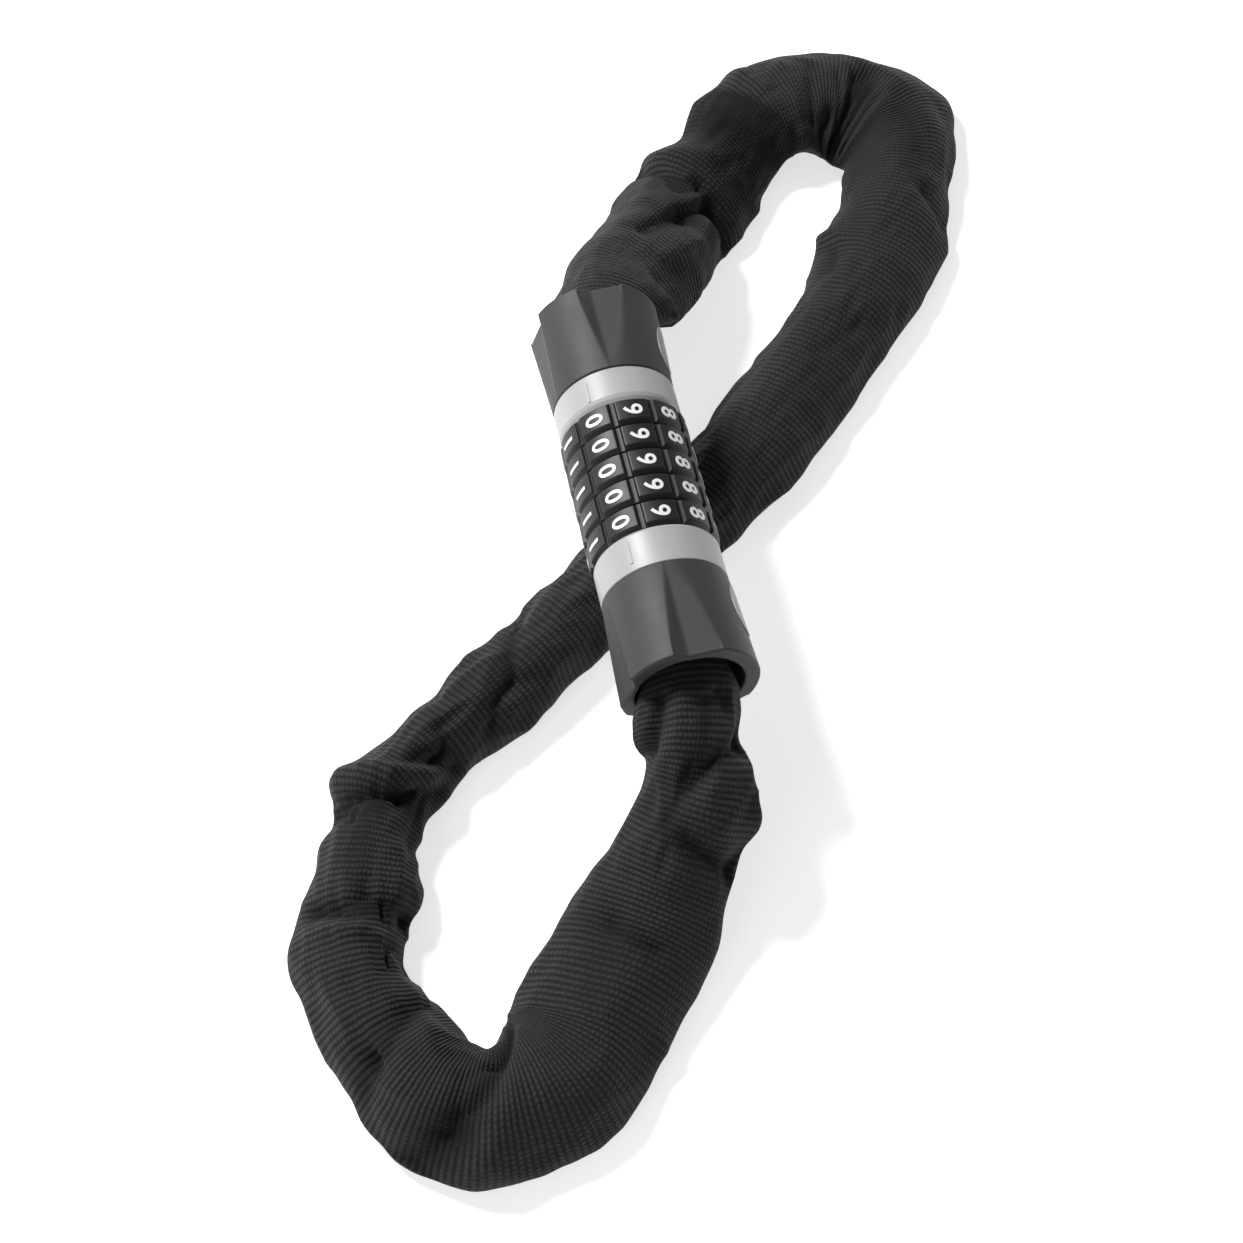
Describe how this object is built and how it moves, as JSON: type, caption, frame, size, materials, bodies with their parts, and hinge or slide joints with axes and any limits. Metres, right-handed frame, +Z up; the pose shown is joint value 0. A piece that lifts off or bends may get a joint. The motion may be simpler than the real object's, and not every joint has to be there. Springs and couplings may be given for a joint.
{
  "type": "chain lock",
  "caption": "Keyless chain lock: a fluted barrel with number dials joins both ends of a steel chain in a black ribbed fabric sleeve, lying in a figure of eight.",
  "frame": {"origin": "on the table, under the middle of the whole part as it lies", "axes": "+Z up from the table; +Y along the barrel towards the plug; +X to the right of the plug"},
  "size_m": [0.2477, 0.3552, 0.0608],
  "materials": {
    "cap_plastic": "satin, lightly textured charcoal",
    "ring_plastic": "satin light grey",
    "badge_plastic": "satin grey, blank",
    "dial_plastic": "black with white digits",
    "disc_brass": "machined",
    "steel": "turned",
    "spring_steel": "polished strip",
    "screw_steel": "black oxide",
    "zinc_hub": "die cast, satin",
    "ferrule_aluminium": "crimped",
    "chain_steel": "zinc plated",
    "sleeve_fabric": "black ribbed weave"
  },
  "bodies": {
    "lock_body": {"core_tube": "steel", "click_spring": "spring_steel", "upper_ring": "ring_plastic", "lower_ring": "ring_plastic", "stack_washer": "steel", "retaining_clip": "spring_steel", "body_cap": "cap_plastic", "body_badge": "badge_plastic", "body_cap_screw": "screw_steel", "body_hub": "zinc_hub", "body_dowel": "steel", "body_chain_pin": "steel", "body_sleeve_ferrule": "ferrule_aluminium", "body_end_link": "chain_steel", "chain_links_plug_run": "chain_steel", "chain_links_far_loop": "chain_steel", "chain_links_middle": "chain_steel", "chain_links_near_loop": "chain_steel", "sleeve_plug_end": "sleeve_fabric", "sleeve_far_rise": "sleeve_fabric", "sleeve_far_bend": "sleeve_fabric", "sleeve_far_return": "sleeve_fabric", "sleeve_right_run": "sleeve_fabric", "sleeve_crossing": "sleeve_fabric", "sleeve_left_run": "sleeve_fabric", "sleeve_left_bend": "sleeve_fabric", "sleeve_near_left": "sleeve_fabric", "sleeve_near_bend": "sleeve_fabric", "sleeve_near_corner": "sleeve_fabric", "sleeve_near_return": "sleeve_fabric", "sleeve_body_end": "sleeve_fabric"},
    "plug": {"locking_pin": "steel", "plug_cap": "cap_plastic", "plug_badge": "badge_plastic", "plug_cap_screw": "screw_steel", "plug_hub": "zinc_hub", "plug_dowel": "steel", "plug_chain_pin": "steel", "plug_sleeve_ferrule": "ferrule_aluminium", "plug_end_link": "chain_steel"},
    "dial_1": {"dial_1": "dial_plastic", "code_disc_1": "disc_brass"},
    "dial_2": {"dial_2": "dial_plastic", "code_disc_2": "disc_brass"},
    "dial_3": {"dial_3": "dial_plastic", "code_disc_3": "disc_brass"},
    "dial_4": {"dial_4": "dial_plastic", "code_disc_4": "disc_brass"},
    "dial_5": {"dial_5": "dial_plastic", "code_disc_5": "disc_brass"}
  },
  "joints": [
    {"name": "dial_1_turn", "type": "hinge", "parent": "lock_body", "child": "dial_1", "pos_m": [-0.0115, 0.0122, 0.0415], "axis": [0, 1, 0], "continuous": true, "deforming": ["click_spring"]},
    {"name": "dial_2_turn", "type": "hinge", "parent": "lock_body", "child": "dial_2", "pos_m": [-0.0115, 0.0031, 0.0415], "axis": [0, 1, 0], "continuous": true, "deforming": ["click_spring"]},
    {"name": "dial_3_turn", "type": "hinge", "parent": "lock_body", "child": "dial_3", "pos_m": [-0.0115, -0.006, 0.0415], "axis": [0, 1, 0], "continuous": true, "deforming": ["click_spring"]},
    {"name": "dial_4_turn", "type": "hinge", "parent": "lock_body", "child": "dial_4", "pos_m": [-0.0115, -0.0151, 0.0415], "axis": [0, 1, 0], "continuous": true, "deforming": ["click_spring"]},
    {"name": "dial_5_turn", "type": "hinge", "parent": "lock_body", "child": "dial_5", "pos_m": [-0.0115, -0.0242, 0.0415], "axis": [0, 1, 0], "continuous": true, "deforming": ["click_spring"]},
    {"name": "plug_slide", "type": "slide", "parent": "lock_body", "child": "plug", "axis": [0, 1, 0], "range_m": [0, 0.0604], "deforming": ["sleeve_plug_end", "chain_links_plug_run"]}
  ]
}
